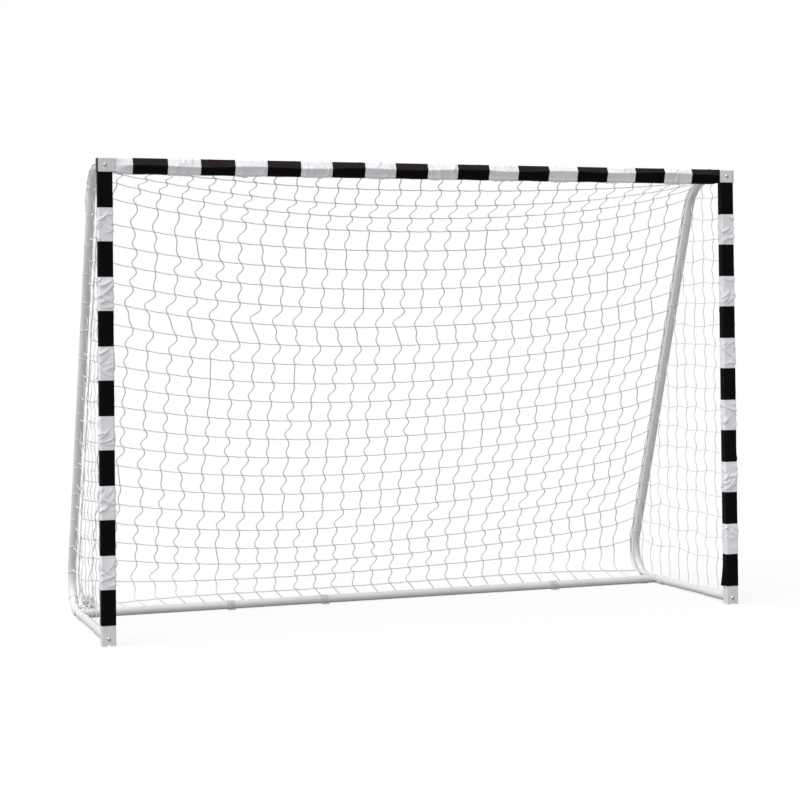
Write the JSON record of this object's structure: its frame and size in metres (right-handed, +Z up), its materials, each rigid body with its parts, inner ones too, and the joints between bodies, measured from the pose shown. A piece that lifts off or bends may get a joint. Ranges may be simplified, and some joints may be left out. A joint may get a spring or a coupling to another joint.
{
  "type": "soccer goal frame",
  "caption": "Free-standing junior soccer goal: rectangular front frame with banded fabric sleeves, bent round side tubes, a rear ground bar and a net.",
  "frame": {"origin": "centre of the bounding box's bottom face, on the ground", "axes": "+X along the crossbar to the right seen from the front, -Y out of the goal mouth, +Z up"},
  "size_m": [3, 1.0749, 2.05],
  "materials": {
    "white_paint": "smooth white powder coat on steel tube",
    "zinc_steel": "zinc plated steel",
    "spring_steel": "tempered strip steel",
    "black_plastic": "moulded black plastic, fine grain",
    "white_plastic": "moulded white plastic",
    "white_nylon": "shiny coated nylon, creased",
    "black_nylon": "matt black printed nylon",
    "net_twine": "twisted twine, square mesh"
  },
  "bodies": {
    "frame": {"corner_connector_left": "zinc_steel", "corner_connector_right": "zinc_steel", "crossbar_cap_left": "black_plastic", "crossbar_cap_right": "black_plastic", "crossbar_coupler_left": "zinc_steel", "crossbar_coupler_right": "zinc_steel", "crossbar_left": "white_paint", "crossbar_middle": "white_paint", "crossbar_right": "white_paint", "crossbar_screws": "zinc_steel", "crossbar_sleeve": "white_nylon", "crossbar_sleeve_bands": "black_nylon", "foot_socket_left": "white_paint", "foot_socket_right": "white_paint", "frame_bolts": "zinc_steel", "net_back": "net_twine", "net_clips": "white_plastic", "net_side_left": "net_twine", "net_side_right": "net_twine", "post_coupler_left": "zinc_steel", "post_coupler_right": "zinc_steel", "post_lower_left": "white_paint", "post_lower_right": "white_paint", "post_screws": "zinc_steel", "post_sleeve_bands_left": "black_nylon", "post_sleeve_bands_right": "black_nylon", "post_sleeve_left": "white_nylon", "post_sleeve_right": "white_nylon", "post_upper_left": "white_paint", "post_upper_right": "white_paint", "rear_bar_left": "white_paint", "rear_bar_middle": "white_paint", "rear_bar_right": "white_paint", "rear_bracket_left": "white_paint", "rear_bracket_right": "white_paint", "rear_bracket_screws": "zinc_steel", "side_tube_lower_left": "white_paint", "side_tube_lower_right": "white_paint", "side_tube_middle_left": "white_paint", "side_tube_middle_right": "white_paint", "side_tube_upper_left": "white_paint", "side_tube_upper_right": "white_paint", "snap_spring_lower_leg_left": "spring_steel", "snap_spring_lower_leg_right": "spring_steel", "snap_spring_rear_bar_left": "spring_steel", "snap_spring_rear_bar_right": "spring_steel", "snap_spring_upper_leg_left": "spring_steel", "snap_spring_upper_leg_right": "spring_steel", "tube_plugs": "zinc_steel"},
    "lower_leg_left_button": {"snap_button_lower_leg_left": "zinc_steel"},
    "lower_leg_right_button": {"snap_button_lower_leg_right": "zinc_steel"},
    "rear_bar_left_button": {"snap_button_rear_bar_left": "zinc_steel"},
    "rear_bar_right_button": {"snap_button_rear_bar_right": "zinc_steel"},
    "upper_leg_left_button": {"snap_button_upper_leg_left": "zinc_steel"},
    "upper_leg_right_button": {"snap_button_upper_leg_right": "zinc_steel"}
  },
  "joints": [
    {"name": "lower_leg_left_button_press", "type": "slide", "parent": "frame", "child": "lower_leg_left_button", "axis": [0, 0.9317, 0.3633], "range_m": [0, 0.0052], "stiffness_N_per_m": 2000, "deforming": ["snap_spring_lower_leg_left"]},
    {"name": "lower_leg_right_button_press", "type": "slide", "parent": "frame", "child": "lower_leg_right_button", "axis": [0, 0.9317, 0.3633], "range_m": [0, 0.0052], "stiffness_N_per_m": 2000, "deforming": ["snap_spring_lower_leg_right"]},
    {"name": "rear_bar_left_button_press", "type": "slide", "parent": "frame", "child": "rear_bar_left_button", "axis": [0, -1, 0], "range_m": [0, 0.0052], "stiffness_N_per_m": 2000, "deforming": ["snap_spring_rear_bar_left"]},
    {"name": "rear_bar_right_button_press", "type": "slide", "parent": "frame", "child": "rear_bar_right_button", "axis": [0, 0, -1], "range_m": [0, 0.0052], "stiffness_N_per_m": 2000, "deforming": ["snap_spring_rear_bar_right"]},
    {"name": "upper_leg_left_button_press", "type": "slide", "parent": "frame", "child": "upper_leg_left_button", "axis": [0, 0.9317, 0.3633], "range_m": [0, 0.0052], "stiffness_N_per_m": 2000, "deforming": ["snap_spring_upper_leg_left"]},
    {"name": "upper_leg_right_button_press", "type": "slide", "parent": "frame", "child": "upper_leg_right_button", "axis": [0, 0.9317, 0.3633], "range_m": [0, 0.0052], "stiffness_N_per_m": 2000, "deforming": ["snap_spring_upper_leg_right"]}
  ]
}
